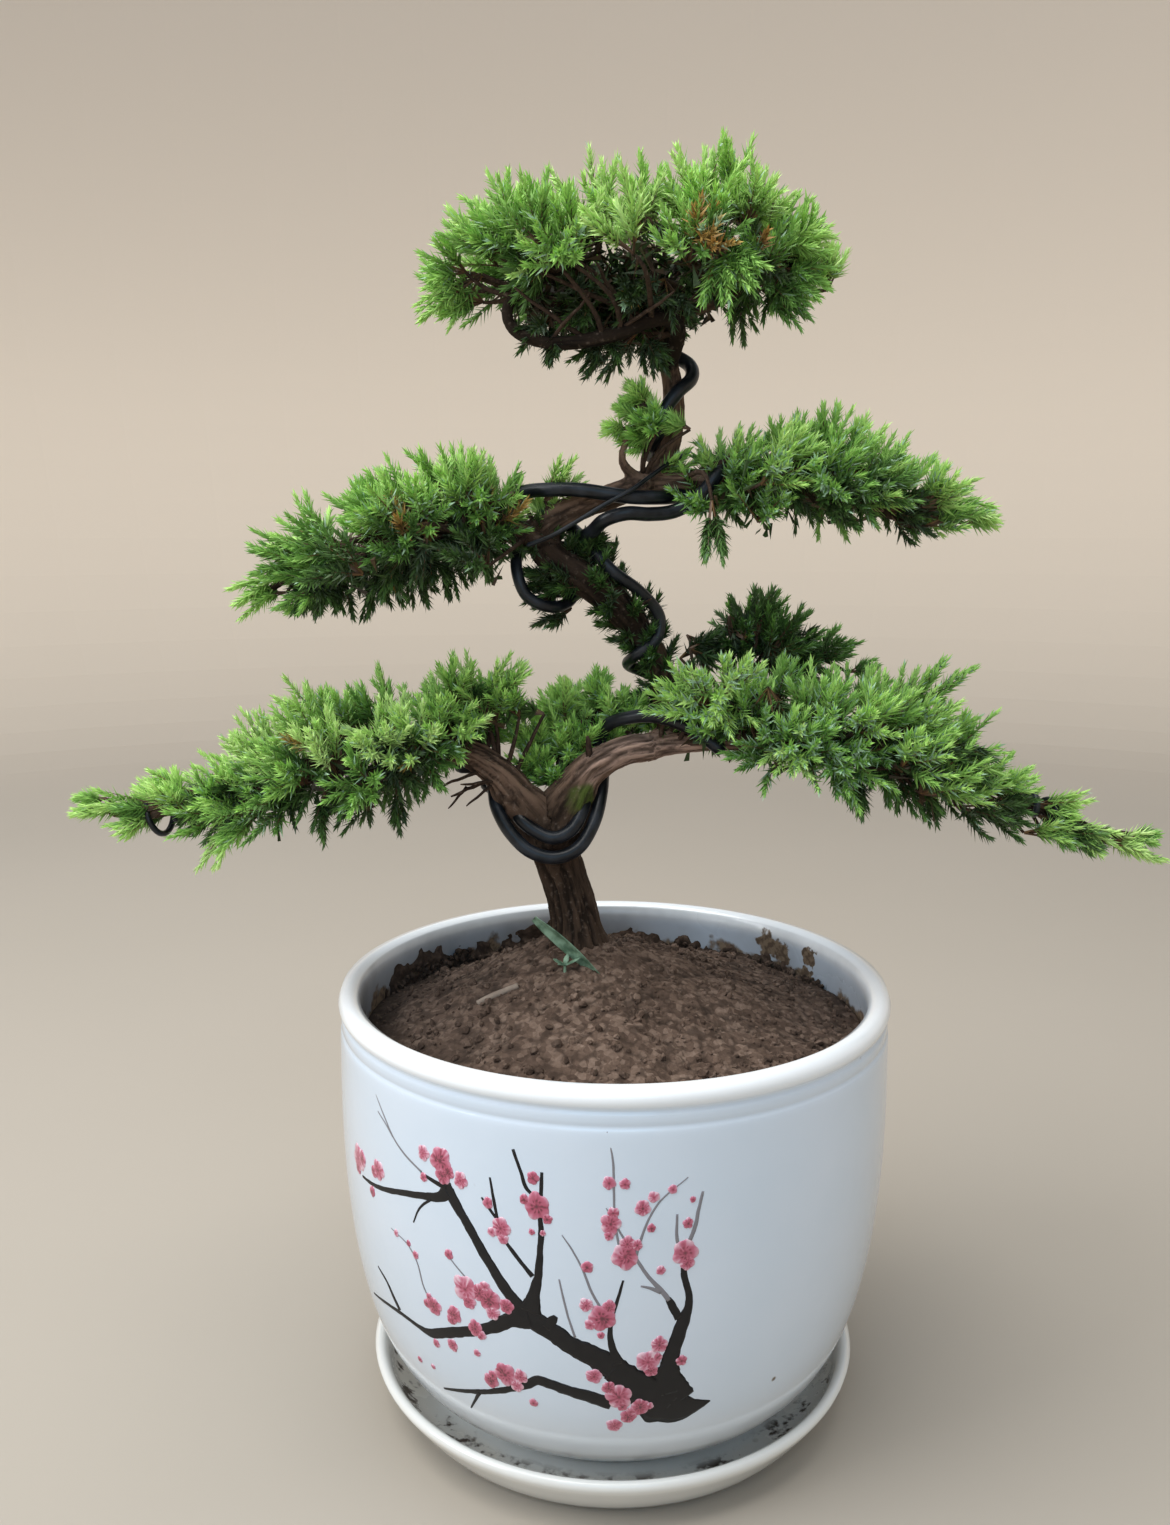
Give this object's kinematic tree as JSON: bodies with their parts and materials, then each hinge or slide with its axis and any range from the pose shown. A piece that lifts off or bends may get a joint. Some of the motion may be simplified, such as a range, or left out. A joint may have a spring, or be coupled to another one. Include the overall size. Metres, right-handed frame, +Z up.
{
  "type": "juniper bonsai in a glazed pot",
  "caption": "Juniper bonsai with a bent, wired trunk and tiered foliage pads, planted in a round glazed pot that stands in its saucer.",
  "frame": {"origin": "centre of the saucer's flat underside, on the pot's axis", "axes": "+Z up along the pot's axis; the tree is seen from -Y, with its long lower branches running to -X and +X"},
  "size_m": [0.361, 0.1808, 0.401],
  "materials": {
    "pot_glaze": "gloss",
    "saucer_glaze": "gloss",
    "soil": "matte",
    "bark": "matte",
    "foliage": "matte",
    "wire": "satin",
    "blade": "matte",
    "straw": "matte"
  },
  "bodies": {
    "root": {"saucer": "saucer_glaze", "pot": "pot_glaze", "soil": "soil", "trunk_and_limbs": "bark", "fork_wire_outer": "wire", "fork_wire_inner": "wire", "trunk_wire": "wire", "mid_limb_wire": "wire", "crown_wire": "wire", "tie_wire": "wire", "left_tip_wire": "wire", "right_tip_wire": "wire", "lower_left_foliage": "foliage", "lower_right_foliage": "foliage", "lower_back_foliage": "foliage", "lower_centre_foliage": "foliage", "mid_left_foliage": "foliage", "mid_right_foliage": "foliage", "centre_tuft": "foliage", "crown_foliage": "foliage", "green_blade": "blade", "seedling": "blade", "straw": "straw"}
  },
  "joints": []
}
